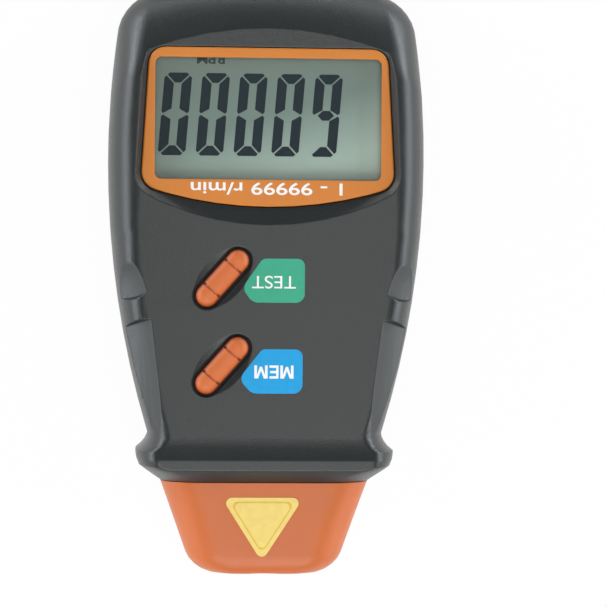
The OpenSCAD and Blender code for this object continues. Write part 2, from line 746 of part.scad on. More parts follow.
// Middle of the front shoulder at a station, and the way it faces, square to the bowed side
shoulder_q = 62;
function shoulder_point(y) =
    [side_half(y) - front_a(y) * (1 - cos(shoulder_q)), y, front_z - front_b(y) * (1 - sin(shoulder_q))];
function side_slope(y) = (widest_y - y) / sqrt(side_r * side_r - pow(y - widest_y, 2));
function shoulder_way(y) =
    let (across = cos(shoulder_q) / front_a(y),
         n = [across, -across * side_slope(y), sin(shoulder_q) / front_b(y)])
    n / norm(n);

// Middle of a scoop's hollow at a station, for a given depth
function scoop_middle(y, depth) = shoulder_point(y) + shoulder_way(y) * (scoop_r - depth);

// The space on one side of the rib: its wall leans back and is round about an upright axis at x
module beside_rib(x, y, r, side) {
    h = front_z + eps - parting_z;
    translate([x, y + side * r, parting_z]) {
        cylinder(r1 = r - (front_z - parting_z) * tan(rib_lean), r2 = r + eps * tan(rib_lean), h = h);
        translate([-scoop_r, min(0, side * scoop_r), 0]) cube([2 * scoop_r, scoop_r, h]);
    }
}

module tail_scoop() {
    intersection() {
        translate(scoop_middle(rib_tail_y, scoop_d)) sphere(r = scoop_r, $fn = 96);
        beside_rib(side_half(rib_tail_y), rib_tail_y, rib_hollow_r, 1);
    }
}

// The scoop on the nose side is long and shallow, and runs out towards the collar
module nose_scoop() {
    end_y = rib_nose_y - nose_scoop_l;
    from = scoop_middle(rib_nose_y, scoop_d);
    to = scoop_middle(end_y, 0);
    run = norm(to - from) + rib_w + eps;
    intersection() {
        along(from, to) translate([0, 0, -rib_w]) cylinder(r = scoop_r, h = run, $fn = 96);
        box(0, body_w, waist_y, rib_tail_y, parting_z, crest_z);
        beside_rib(side_half(rib_nose_y) - front_a(rib_nose_y), rib_nose_y, rib_bow_r, -1);
    }
}

module grip_scoops() {
    for (s = [0, 1]) mirror([s, 0, 0]) {
        tail_scoop();
        nose_scoop();
    }
}

module front_shell() {
    color(case_grey) difference() {
        union() {
            half_shell(1);
            front_bosses();
        }
        display_cut();
        for (y = [test_y, mem_y]) at_key(y) key_cut();
        grip_scoops();
        at_case_screws() translate([0, 0, parting_z - eps])
            cylinder(r = screw_bore_r, h = screw_grip + fit + eps);
        at_board_screws() translate([0, 0, board_top - eps])
            cylinder(r = board_screw_bore_r, h = board_screw_grip + fit + eps);
    }
}

// Rear shell and battery door

bay_half = battery_w / 2 + fit;
door_half = door_w / 2;
ledge_z = door_top + slide_gap;
ledge_top = ledge_z + ledge_t;
frame_half = door_half + tongue_w + slide_gap + bay_wall;
tongue_z = door_top - tongue_t;
end_tongue_half = bay_half - 2 * bay_wall;
frame_tail_y = rear_fall_y - outer_bow(rear_fall_y) * frame_half * frame_half;
tongue_tail_y = frame_tail_y - bay_wall;
door_tail_y = tail_y - rear_fall / 2;

module box(x0, x1, y0, y1, z0, z1) {
    translate([x0, y0, z0]) cube([x1 - x0, y1 - y0, z1 - z0]);
}

// Thickened frame round the door, and the walls that hold the battery
module battery_bay() {
    box(-frame_half, frame_half, door_y - end_tongue_l - 2 * bay_wall, frame_tail_y, wall / 2, ledge_top);
    box(-bay_half - bay_wall, bay_half + bay_wall, bay_y - bay_wall, bay_y, ledge_top - eps, bay_h);
    for (s = [0, 1]) mirror([s, 0, 0])
        box(bay_half, bay_half + bay_wall, bay_y - bay_wall, tongue_tail_y, ledge_top - eps, bay_h);
}

module door_cut() {
    past_tail = tail_y + eps;
    door_gap = door_half + slide_gap;
    tongue_gap = door_gap + tongue_w;
    end_gap = end_tongue_half + slide_gap;
    box(-bay_half, bay_half, bay_y, bay_tail_y, -eps, bay_h + eps);
    box(-door_gap, door_gap, door_y - slide_gap, past_tail, -eps, ledge_z);
    box(-tongue_gap, tongue_gap, door_y + bay_wall - slide_gap, past_tail, tongue_z - slide_gap, ledge_z);
    box(-end_gap, end_gap, door_y - end_tongue_l - slide_gap, door_y, tongue_z - slide_gap, ledge_z);
}

module rear_shell() {
    color(case_grey) difference() {
        union() {
            half_shell(-1);
            battery_bay();
            at_case_screws() translate([0, 0, wall / 2]) cylinder(r = rear_boss_r, h = parting_z - wall / 2);
        }
        door_cut();
        at_case_screws() translate([0, 0, -eps]) cylinder(r = head_bore_r, h = screw_seat + eps);
        at_case_screws() translate([0, 0, -eps]) cylinder(r = screw_bore_r + fit, h = parting_z + 2 * eps);
    }
}

// The back is flat along the door as far as its fall to the tail
door_stations = concat([waist_y], [for (y = stations) if (y >= fall_y) y]);

module battery_door() {
    tongue_half = door_half + tongue_w;
    color(case_grey) difference() {
        union() {
            intersection() {
                translate([0, 0, door_inset]) half_shell(-1, door_stations);
                box(-door_half, door_half, door_y, door_tail_y, -eps, door_top + slide_gap / 2);
            }
            box(-tongue_half, tongue_half, door_y + bay_wall, tongue_tail_y, tongue_z, door_top);
            box(-end_tongue_half, end_tongue_half, door_y - end_tongue_l, door_y + bay_wall,
                tongue_z, door_top);
        }
        for (i = [0:door_grooves - 1]) let (y = tongue_tail_y - i * door_groove_pitch)
            box(-bay_half / 2, bay_half / 2, y - door_groove, y, -eps, door_inset + door_groove);
    }
}

// Nose cap

module nose_cap() {
    tip_start = tip_y + tip_round_l;
    outer = concat(
        [for (i = [tip_steps:-1:1]) let (q = 90 * i / tip_steps)
            nose_ring(tip_start - tip_round_l * sin(q), 0, 1 - cos(q))],
        [for (i = [0:nose_steps]) nose_ring(mix(tip_start, joint_y - seat, i / nose_steps), 0)]);
    neck = [case_ring(joint_y, fit, joint_y - seat),
            case_ring(joint_y, fit, joint_y + neck_l),
            case_ring(joint_y + neck_l, fit, joint_y + neck_l),
            case_ring(joint_y + neck_l, fit, flange_y)];
    inner = [case_ring(joint_y, fit + wall, flange_y),
             case_ring(joint_y, fit + wall, joint_y),
             nose_ring((joint_y + tip_y) / 2, wall),
             nose_ring(tip_y + tip_wall, wall)];
    color(nose_orange) difference() {
        skin(concat(outer, neck, inner));
        down_axis(0, tip_y - eps) cylinder(r = lens_r + bore_gap, h = tip_wall + 2 * eps);
        down_axis(0, tip_y - eps)
            cylinder(r1 = mouth_r + (mouth_r - lens_r) * eps / mouth_d, r2 = lens_r, h = mouth_d + eps);
        down_axis(laser_offset, tip_y - eps) cylinder(r = aperture_r, h = tip_wall + 2 * eps);
    }
}

// Display

module display_bezel() {
    z = pocket_z + bezel_proud - bezel_t;
    color(bezel_orange) difference() {
        union() {
            plate(grown_bezel(0), z, bezel_t - bezel_chamfer);
            hull() {
                plate(grown_bezel(0), z + bezel_t / 2, bezel_t / 2 - bezel_chamfer);
                plate(grown_bezel(-bezel_chamfer), z + bezel_t / 2, bezel_t / 2);
            }
        }
        at_display() plate(view_outline(0), z - eps, bezel_t + 2 * eps);
    }
}

module display_window() {
    top = pocket_z + bezel_proud - bezel_t;
    color([0.85, 0.9, 0.88, 0.35]) at_display()
        plate(view_outline(window_rim - fit), top - window_t, window_t);
}

ledge_w = strip_w + 2 * fit;

module lcd_panel() {
    rear_h = glass_h - 2 * ledge_w;
    color(glass_green) at_display() {
        translate([-glass_w / 2, -glass_h / 2, glass_z + rear_glass_t])
            cube([glass_w, glass_h, front_glass_t]);
        translate([-glass_w / 2, -rear_h / 2, glass_z])
            cube([glass_w, rear_h, rear_glass_t + front_glass_t / 2]);
    }
}

module contact_strip(s) {
    h = glass_gap + rear_glass_t - 2 * seat;
    y = s * (glass_h - ledge_w) / 2;
    color([0.75, 0.45, 0.55]) at_display()
        translate([0, y, board_top + seat + h / 2]) cube([view_w, strip_w, h], center = true);
}

module lcd_strip_tail() { contact_strip(1); }
module lcd_strip_nose() { contact_strip(-1); }

// Boards and what is soldered to them

board_tail_y = min(display_y + glass_h / 2, tail_screw_y - front_boss_r - fit);
board_corner = 1.5;

module main_board() {
    mid_y = side_post_y - post_r - fit;
    narrow_y = nose_screw_y + rear_boss_r + fit;
    right = [[board_nose_w / 2, board_nose_y], [board_nose_w / 2, narrow_y], [board_mid_w / 2, narrow_y],
             [board_mid_w / 2, mid_y], [board_w / 2, mid_y], [board_w / 2, board_tail_y]];
    left = [for (i = [len(right) - 1:-1:0]) [-right[i].x, right[i].y]];
    outline = concat(right, left);
    color(board_green) difference() {
        plate(rounded(outline, [for (p = outline) board_corner], 3), board_z, board_t);
        at_board_screws() translate([0, 0, board_z - eps])
            cylinder(r = board_screw_r + fit, h = board_t + 2 * eps);
    }
}

module controller_chip() {
    color(moulded_black) at_display()
        translate([0, 0, board_top + seat + chip_t / 2]) cube([chip_w, chip_w, chip_t], center = true);
}

module crystal() {
    color([0.75, 0.76, 0.78]) translate([key_offset, mem_y, board_z - seat - crystal_h])
        pill(crystal_l, crystal_w, 0, crystal_h);
}

module capacitor() {
    color([0.15, 0.18, 0.35]) translate([key_offset, test_y - key_pitch / 2, board_z - seat - capacitor_h])
        cylinder(r = capacitor_r, h = capacitor_h);
}

// Keys and their switches; a plunger reaches from its switch up to the key's flange

key_flange_z = ceiling_z - slide_gap - key_flange_t;
switch_top = board_top + seat + switch_h;
plunger_depth = switch_h / 2 - slide_gap;

module switch_body(y) {
    color(moulded_black) translate([-key_offset, y, board_top + seat]) difference() {
        translate([0, 0, switch_h / 2]) cube([switch_w, switch_w, switch_h], center = true);
        translate([0, 0, switch_h / 4]) cylinder(r = plunger_r + slide_gap, h = switch_h);
    }
}

module plunger(y) {
    foot = switch_top - plunger_depth + key_travel;
    color("ivory") translate([-key_offset, y, foot]) cylinder(r = plunger_r, h = key_flange_z - foot);
}

// Round-topped bar: upright sides under a crown whose radius is a little more than half the bar's width
key_crown = 0.15;

module key_bar(l, w, z0, top) {
    crown_r = w / 2 + key_crown;
    reach = (l - w) / 2;
    intersection() {
        pill(l, w, z0, top - z0);
        translate([0, 0, top - crown_r]) union() {
            rotate([0, 90, 0]) cylinder(r = crown_r, h = 2 * reach, center = true);
            for (s = [-1, 1]) translate([s * reach, 0, 0]) sphere(r = crown_r);
            translate([0, 0, -top]) cube([2 * l, 2 * w, 2 * top], center = true);
        }
    }
}

module key(y) {
    top = front_z + key_proud;
    overhang = 2 * (key_gap + key_flange_rim);
    color(key_orange) at_key(y) {
        difference() {
            key_bar(key_l, key_w, key_flange_z, top);
            for (s = [-1, 1]) difference() {
                translate([s * groove_offset - groove_w / 2, -key_w, front_z - groove_d])
                    cube([groove_w, 2 * key_w, top]);
                key_bar(key_l, key_w - 2 * groove_d, key_flange_z - eps, top - groove_d);
            }
        }
        pill(key_l + overhang, key_w + overhang, key_flange_z, key_flange_t);
    }
}

module test_switch() { switch_body(test_y); }
module mem_switch() { switch_body(mem_y); }
module test_plunger() { plunger(test_y); }
module mem_plunger() { plunger(mem_y); }
module test_key() { key(test_y); }
module mem_key() { key(mem_y); }

// Battery, snap and leads

module lying_block(w, h, r, y, l, z) {
    translate([0, y + l, z + h / 2]) rotate([90, 0, 0]) linear_extrude(l) polygon(rectangle(w, h, r));
}

terminal_z = battery_z + battery_t / 2;

module terminals(grow) {
    translate([-terminal_pitch / 2, battery_y + eps, terminal_z]) rotate([90, 0, 0])
        cylinder(r = stud_r + grow, h = terminal_h + eps + grow);
    translate([terminal_pitch / 2, battery_y + eps, terminal_z]) rotate([90, 0, 0])
        cylinder(r = socket_r + grow, h = terminal_h + eps + grow);
}

module battery() {
    color([0.2, 0.2, 0.24]) {
        lying_block(battery_w, battery_t, battery_edge, battery_y, battery_l, battery_z);
        terminals(0);
    }
}

module battery_snap() {
    color(moulded_black) difference() {
        lying_block(battery_w - 2 * fit, snap_h, battery_edge, snap_y, snap_t, terminal_z - snap_h / 2);
        terminals(fit);
    }
}

// A lead leaves the snap towards the nose and bends up to the board
lead_steps = 10;
lead_sides = 8;
lead_run = 11;
lead_straight = 7.7;
lead_height = 3.5;
function curve(a, b, c, d, t) =
    pow(1 - t, 3) * a + 3 * t * pow(1 - t, 2) * b + 3 * t * t * (1 - t) * c + pow(t, 3) * d;
function lead_ring(points, t) =
    let (p = curve(points[0], points[1], points[2], points[3], t),
         step = 0.01,
         way = curve(points[0], points[1], points[2], points[3], t + step) - p,
         up = [0, -way.z, way.y] / norm(way))
    [for (k = [0:lead_sides - 1]) let (q = 360 * k / lead_sides)
        p + lead_r * (cos(q) * [1, 0, 0] + sin(q) * up)];

module lead(x) {
    z = bay_h + lead_r + fit;
    end_y = snap_y - lead_run;
    points = [[x, snap_y - seat, z], [x, snap_y - lead_straight, z],
              [x, end_y, z + lead_height], [x, end_y, board_z - seat]];
    skin([for (i = [0:lead_steps]) lead_ring(points, 1 - i / lead_steps)]);
}

module red_lead() { color("firebrick") lead(terminal_pitch / 4); }
module black_lead() { color(moulded_black) lead(-terminal_pitch / 4); }

// Optics in the nose

module receiver_lens() {
    dome_r = (lens_r * lens_r + lens_dome * lens_dome) / (2 * lens_dome);
    color([0.8, 0.87, 0.9, 0.4]) down_axis(0, tip_y + tip_wall - lens_edge - lens_dome) intersection() {
        cylinder(r = lens_r, h = lens_edge + lens_dome);
        translate([0, 0, dome_r]) sphere(r = dome_r, $fn = 96);
    }
}

tube_r = lens_r + tube_wall - bore_gap;
optics_l = optics_board_y - seat - tube_y;

module lens_tube() {
    color(moulded_black) down_axis(0, tube_y) difference() {
        cylinder(r = tube_r, h = optics_l);
        translate([0, 0, -eps]) cylinder(r = lens_r - tube_lap, h = optics_l + 2 * eps);
    }
}

module laser_module() {
    color([0.72, 0.58, 0.30]) down_axis(laser_offset, tube_y) difference() {
        cylinder(r = laser_r, h = optics_l);
        translate([0, 0, -eps]) cylinder(r = aperture_r, h = laser_r + eps);
    }
}

module photo_sensor() {
    color([0.15, 0.1, 0.15]) down_axis(0, optics_board_y - seat - sensor_l) {
        translate([0, 0, sensor_r]) cylinder(r = sensor_r, h = sensor_l - sensor_r);
        translate([0, 0, sensor_r]) sphere(r = sensor_r);
    }
}

// A plate that fills the nose's section and holds the tube and the laser side by side
module optics_carrier() {
    y = joint_y - carrier_depth;
    outline = [for (p = nose_ring(y - carrier_t, wall + fit)) [p.x, p.z]];
    color(moulded_black) difference() {
        translate([0, y, 0]) rotate([90, 0, 0]) linear_extrude(carrier_t) polygon(outline);
        down_axis(0, y - carrier_t - eps) cylinder(r = tube_r + bore_gap, h = carrier_t + 2 * eps);
        down_axis(laser_offset, y - carrier_t - eps)
            cylinder(r = laser_r + bore_gap, h = carrier_t + 2 * eps);
    }
}

module optics_board() {
    color(board_green) translate([0, optics_board_y + board_t / 2, parting_z])
        cube([optics_board_w, board_t, optics_board_h], center = true);
}

// Screws

// Cross recess of a screw: its span and slot as parts of the head's radius, its depth as a part of the head
recess_span = 1.2;
recess_slot = 0.25;
recess_depth = 0.55;

// A screw that points up, with its seat at z
module screw(z, r, l, head_r, head_h) {
    difference() {
        union() {
            translate([0, 0, z - head_h]) cylinder(r = head_r, h = head_h);
            translate([0, 0, z - head_h / 2]) cylinder(r = r, h = l + head_h / 2);
        }
        for (turn = [0, 90]) rotate(turn) translate([0, 0, z - head_h])
            cube([head_r * recess_span, head_r * recess_slot, head_h * recess_depth * 2], center = true);
    }
}

module case_screws() {
    color("silver") at_case_screws()
        screw(screw_seat, screw_r, parting_z + screw_grip - screw_seat, screw_head_r, screw_head_h);
}

module board_screws() {
    color("silver") at_board_screws()
        screw(board_z, board_screw_r, board_t + board_screw_grip, board_screw_head_r, board_screw_head_h);
}

front_shell();
rear_shell();
battery_door();
nose_cap();
display_bezel();
display_window();
lcd_panel();
lcd_strip_tail();
lcd_strip_nose();
main_board();
controller_chip();
crystal();
capacitor();
test_switch();
mem_switch();
test_plunger();
mem_plunger();
test_key();
mem_key();
battery();
battery_snap();
red_lead();
black_lead();
receiver_lens();
lens_tube();
laser_module();
photo_sensor();
optics_carrier();
optics_board();
case_screws();
board_screws();
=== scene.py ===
import json
import math

import bmesh
import bpy
from mathutils import Euler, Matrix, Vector


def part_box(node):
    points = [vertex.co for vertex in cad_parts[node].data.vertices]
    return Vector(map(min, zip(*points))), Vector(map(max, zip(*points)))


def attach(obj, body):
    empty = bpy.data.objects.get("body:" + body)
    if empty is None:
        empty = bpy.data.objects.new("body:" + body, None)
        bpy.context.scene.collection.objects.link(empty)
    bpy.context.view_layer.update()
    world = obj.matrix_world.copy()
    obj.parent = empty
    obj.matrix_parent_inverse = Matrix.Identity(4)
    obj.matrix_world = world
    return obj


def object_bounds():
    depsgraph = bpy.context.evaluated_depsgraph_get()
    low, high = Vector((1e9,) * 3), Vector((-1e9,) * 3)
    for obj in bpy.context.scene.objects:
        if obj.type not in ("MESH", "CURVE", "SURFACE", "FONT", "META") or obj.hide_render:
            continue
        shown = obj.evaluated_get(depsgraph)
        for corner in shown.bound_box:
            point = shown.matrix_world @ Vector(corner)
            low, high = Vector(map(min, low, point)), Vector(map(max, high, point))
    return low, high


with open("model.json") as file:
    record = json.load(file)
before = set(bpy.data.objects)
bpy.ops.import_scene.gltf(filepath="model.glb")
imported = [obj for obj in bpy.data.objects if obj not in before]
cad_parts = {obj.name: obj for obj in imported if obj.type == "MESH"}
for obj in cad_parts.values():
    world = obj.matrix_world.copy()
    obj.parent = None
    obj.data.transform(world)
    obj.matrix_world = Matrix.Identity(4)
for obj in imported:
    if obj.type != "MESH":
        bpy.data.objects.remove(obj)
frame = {"nodes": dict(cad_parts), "record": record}
CAD_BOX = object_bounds()
NODES = frame["nodes"]
SCENE = bpy.context.scene
MM = 0.001

# Places that the prints sit on, read from the frame
CASE_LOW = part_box("front_shell")[0]
BEZEL_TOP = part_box("display_bezel")[1].z
LCD_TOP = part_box("lcd_panel")[1].z
WINDOW_LOW, WINDOW_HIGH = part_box("display_window")
DISPLAY_Y = (WINDOW_LOW.y + WINDOW_HIGH.y) / 2
KEY_PROUD = 1.3 * MM
FACE_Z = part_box("test_key")[1].z - KEY_PROUD
PARTING_Z = CASE_LOW.z
NOSE_JOINT_Y = CASE_LOW.y

# The nose's flat top: half its depth at the case, and its fall towards the tip
NOSE_HALF_H = 11.5 * MM
NOSE_FALL = 2.75 / 20.5

# The camera looks down on the front from a little to the left, at a point right of the case's middle
VIEW_POINT = Vector((8.63, -5.96, 14)) * MM
VIEW_WIDTH = 135.3 * MM
CAMERA_DISTANCE = 500 * MM
CAMERA_LEAN = math.radians(3.5)
CAMERA_ROLL = math.radians(0.44)
SENSOR_WIDTH = 36

# Display digits
DIGITS = "60000"
DIGIT_W = 6.0 * MM
DIGIT_H = 18.0 * MM
DIGIT_PITCH = 8.23 * MM
FIRST_DIGIT_X = 12.6 * MM
DIGIT_RISE = 1.0 * MM
DIGIT_SLANT = math.tan(math.radians(4.7))
SEGMENT_W = 2.15 * MM
SEGMENT_GAP = 0.32 * MM
DIGIT_CHAMFER = 1.1 * MM
SEGMENT_TIP = 0.4 * MM
INK = 0.02 * MM

# Printed tags beside the keys: corners in millimetres, from the tail's left corner to the slanted side
TAG_T = 0.06 * MM
TEST_TAG = [(-1.1, 3.7), (8.05, 3.7), (8.05, -5.85), (-3.3, -5.85), (-5.5, -2.7)]
MEM_TAG = [(-1.1, -15.95), (7.7, -15.95), (7.7, -25.55), (-3.3, -25.55), (-6.1, -22.4)]
TAG_ROUNDS = [1.6 * MM, 1.6 * MM, 2.0 * MM, 2.6 * MM, 2.0 * MM]

# Yellow plate on the nose: its middle, its width, its edge beside the case and its point
PLATE_X = -0.65 * MM
PLATE_W = 17.9 * MM
PLATE_EDGE_Y = -48.3 * MM
PLATE_POINT_Y = -62.5 * MM
PLATE_ROUND = 1.3 * MM
PLATE_T = 0.12 * MM
PLATE_LINE = 0.3 * MM
PLATE_MARGIN = 0.9 * MM

# Shading: edges steeper than these are crisp, and a level face's edges have the lower limit
CRISP = math.radians(24)
CRISP_ON_LEVEL = math.radians(14)
LEVEL = 0.99999
WELD = 0.001 * MM

# Lettering: print strokes made bolder, in shares of the type's size, and the type's own depth and weld
BOLD_LEGEND = 0.012
BOLD_UNIT = 0.025
TYPE_DEPTH = 0.1
TYPE_WELD = 0.0001

# Floor: its half size, its gap below the object and the share of it that shows as white
FLOOR_SIZE = 3
FLOOR_GAP = 0.02 * MM
FLOOR_WHITE = 0.95

# Lamps in metres and watts: place, width and height, power and colour; the side ones are mirrored
WORLD_COLOR = (0.12, 0.124, 0.128, 1)
NEUTRAL = (1, 1, 1)
COOL = (0.9, 0.96, 1.0)
LAMPS = {
    "overhead": ((0.06, -0.2, 0.8), (0.5, 0.4), 1.2, NEUTRAL),
    "brow": ((0.03, 0.18, 0.9), (0.5, 0.14), 0.85, NEUTRAL),
    "front": ((0, -0.66, 0.62), (0.9, 0.5), 5.5, NEUTRAL),
    "tail": ((0, 0.75, 0.06), (0.7, 0.1), 0.8, COOL),
}
SIDE_LAMPS = {
    "": ((0.75, 0.02, 0.2), (0.9, 0.4), 4.6, COOL),
    "_corner": ((0.55, 0.52, 0.07), (0.5, 0.1), 2.0, COOL),
}


def linear(red, green, blue):
    """A screen colour of 0 to 255 as a linear colour."""
    def one(value):
        share = value / 255
        return share / 12.92 if share <= 0.04045 else ((share + 0.055) / 1.055) ** 2.4
    return (one(red), one(green), one(blue), 1.0)


# Materials

class Finish:
    """A Principled material whose fields follow the object's own coordinates, in metres."""

    def __init__(self, name, color, roughness, sockets=None):
        self.material = bpy.data.materials.new(name)
        self.material.use_nodes = True
        self.tree = self.material.node_tree
        self.shader = self.tree.nodes["Principled BSDF"]
        self.place = self.add("ShaderNodeTexCoord").outputs["Object"]
        self.normal = None
        self.shader.inputs["Base Color"].default_value = color
        self.shader.inputs["Roughness"].default_value = roughness
        for socket, value in (sockets or {}).items():
            self.shader.inputs[socket].default_value = value

    def add(self, kind):
        return self.tree.nodes.new(kind)

    def join(self, output, socket):
        self.tree.links.new(output, socket)

    def noise(self, size, detail=2.0, stretch=(1, 1, 1)):
        """A noise field whose features are about that many metres across."""
        mapping = self.add("ShaderNodeMapping")
        mapping.inputs["Scale"].default_value = stretch
        texture = self.add("ShaderNodeTexNoise")
        texture.inputs["Scale"].default_value = 1 / size
        texture.inputs["Detail"].default_value = detail
        self.join(self.place, mapping.inputs["Vector"])
        self.join(mapping.outputs["Vector"], texture.inputs["Vector"])
        return texture.outputs["Fac"]

    def ramp(self, way, low, high):
        """A field that rises from 0 to 1 along a direction, between two distances from the origin."""
        dot = self.add("ShaderNodeVectorMath")
        dot.operation = "DOT_PRODUCT"
        dot.inputs[1].default_value = way
        self.join(self.place, dot.inputs[0])
        return self.spread(dot.outputs["Value"], low, high, 0, 1)

    def spread(self, field, low, high, to_low, to_high):
        """A field moved from one range to another."""
        span = self.add("ShaderNodeMapRange")
        span.inputs["From Min"].default_value = low
        span.inputs["From Max"].default_value = high
        span.inputs["To Min"].default_value = to_low
        span.inputs["To Max"].default_value = to_high
        self.join(field, span.inputs["Value"])
        return span.outputs["Result"]

    def tint(self, field, colors, low=0.3, high=0.7):
        """Base colour that runs through a list of colours with a field."""
        ramp = self.add("ShaderNodeValToRGB")
        stops = ramp.color_ramp.elements
        while len(stops) < len(colors):
            stops.new(0.5)
        for index, color in enumerate(colors):
            stops[index].position = low + (high - low) * index / (len(colors) - 1)
            stops[index].color = color
        self.join(field, ramp.inputs["Fac"])
        self.join(ramp.outputs["Color"], self.shader.inputs["Base Color"])
        return self

    def gloss(self, field, low, high):
        """Roughness that varies with a field."""
        self.join(self.spread(field, 0.3, 0.7, low, high), self.shader.inputs["Roughness"])
        return self

    def round_edges(self, radius):
        """Edges that catch the light as if rounded."""
        bevel = self.add("ShaderNodeBevel")
        bevel.samples = 8
        bevel.inputs["Radius"].default_value = radius
        return self.use_normal(bevel.outputs["Normal"])

    def emboss(self, field, depth):
        """Relief of a given depth."""
        bump = self.add("ShaderNodeBump")
        bump.inputs["Distance"].default_value = depth
        self.join(field, bump.inputs["Height"])
        if self.normal:
            self.join(self.normal, bump.inputs["Normal"])
        return self.use_normal(bump.outputs["Normal"])

    def use_normal(self, output):
        self.normal = output
        self.join(output, self.shader.inputs["Normal"])
        return self


def shades(color, spread):
    """A darker and a lighter shade of a colour."""
    return [tuple(part * factor for part in color[:3]) + (1.0,) for factor in (1 - spread, 1 + spread)]


def moulded(name, color, roughness, spread, grain, depth, sockets=None, edge=0.25 * MM, sparkle=2.5 * MM):
    """Moulded plastic: slow colour drift, uneven gloss and a fine eroded grain."""
    finish = Finish(name, color, roughness, sockets)
    finish.tint(finish.noise(14 * MM, 4), shades(color, spread))
    finish.gloss(finish.noise(sparkle, 3), roughness - 0.05, roughness + 0.05)
    finish.round_edges(edge)
    finish.emboss(finish.noise(grain, 2), depth)
    return finish.material


def key_rubber():
    """Orange rubber with painted shade: its colour follows height, near black in the gap round a key and
    lighter towards the crown.
    """
    face = max(corner[2] for corner in NODES["test_key"].bound_box) - KEY_PROUD
    finish = Finish("key_rubber", linear(228, 116, 58), 0.45, {"Specular IOR Level": 0.4})
    # Painted shade: near black below the face, darker orange at the face, lighter orange up to the crown
    finish.tint(finish.ramp((0, 0, 1), face - 1 * MM, face + 1.2 * MM),
                [linear(20, 10, 7), linear(154, 68, 30), linear(201, 102, 48), linear(205, 107, 54)],
                0.2, 1.0)
    finish.gloss(finish.noise(1.5 * MM, 3), 0.4, 0.5)
    finish.round_edges(0.2 * MM)
    finish.emboss(finish.noise(0.25 * MM, 2), 0.01 * MM)
    return finish.material


def display_glass():
    """Grey-green display with a painted gradient of light: lighter towards its nose side and right,
    brightest at the nose edge where it paints out the bezel's shadow.
    """
    finish = Finish("display_glass", linear(128, 147, 136), 0.35, {"Specular IOR Level": 0.2})
    # Painted light: ramp from darker upper left to lighter nose edge, lifting the bezel's cast shadow
    field = finish.ramp((0.3, -0.95, 0), -46 * MM, -20 * MM)
    finish.tint(field, [linear(114, 131, 121), linear(120, 139, 130), linear(166, 186, 174)], 0.0, 1.0)
    finish.emboss(finish.noise(0.4 * MM, 2), 0.002 * MM)
    return finish.material


def clear_window():
    """Thin clear sheet with a faint veil."""
    finish = Finish("clear_window", linear(120, 130, 126), 0.12, {"Alpha": 0.04, "Specular IOR Level": 0.1})
    finish.gloss(finish.noise(6 * MM, 3), 0.08, 0.16)
    return finish.material


def print_ink(name, color, roughness=0.45, gloss=0.35):
    """Printed colour with a slightly uneven film."""
    finish = Finish(name, color, roughness, {"Specular IOR Level": gloss})
    finish.tint(finish.noise(1.5 * MM, 3), shades(color, 0.04))
    finish.gloss(finish.noise(0.8 * MM, 2), roughness - 0.06, roughness + 0.06)
    finish.emboss(finish.noise(0.25 * MM, 2), 0.004 * MM)
    return finish.material


def contact_rubber():
    """Striped contact rubber: dark conducting layers between pale ones."""
    finish = Finish("contact_rubber", linear(205, 150, 160), 0.6)
    wave = finish.add("ShaderNodeTexWave")
    wave.inputs["Scale"].default_value = 1 / (3 * MM)
    finish.join(finish.place, wave.inputs["Vector"])
    finish.tint(wave.outputs["Fac"], [linear(40, 36, 38), linear(214, 160, 170)], 0.45, 0.55)
    return finish.material


def circuit_board():
    """Green solder mask over copper tracks."""
    finish = Finish("board", linear(24, 92, 58), 0.35)
    cells = finish.add("ShaderNodeTexVoronoi")
    cells.feature = "DISTANCE_TO_EDGE"
    cells.distance = "CHEBYCHEV"
    cells.inputs["Scale"].default_value = 1 / (3.5 * MM)
    finish.join(finish.place, cells.inputs["Vector"])
    finish.tint(cells.outputs["Distance"], [linear(52, 128, 76), linear(20, 84, 52)], 0.06, 0.1)
    finish.emboss(cells.outputs["Distance"], 0.02 * MM)
    return finish.material


def metal(name, color, roughness, stretch):
    """Drawn or turned metal with fine marks along one direction."""
    finish = Finish(name, color, roughness, {"Metallic": 1.0})
    marks = finish.noise(0.3 * MM, 3, stretch)
    finish.tint(marks, shades(color, 0.1))
    finish.gloss(marks, roughness - 0.08, roughness + 0.08)
    finish.emboss(marks, 0.004 * MM)
    return finish.material


def lens_glass():
    finish = Finish("lens_glass", linear(225, 235, 238), 0.03, {"Transmission Weight": 1.0, "IOR": 1.49})
    finish.gloss(finish.noise(3 * MM, 2), 0.02, 0.05)
    return finish.material


def banded(name, colors, way, start, end, roughness):
    """Printed sleeve with bands of colour across one direction."""
    finish = Finish(name, colors[0], roughness)
    finish.tint(finish.ramp(way, start, end), colors, 0.0, 1.0)
    finish.gloss(finish.noise(2 * MM, 3), roughness - 0.06, roughness + 0.06)
    finish.emboss(finish.noise(0.5 * MM, 2), 0.01 * MM)
    return finish.material


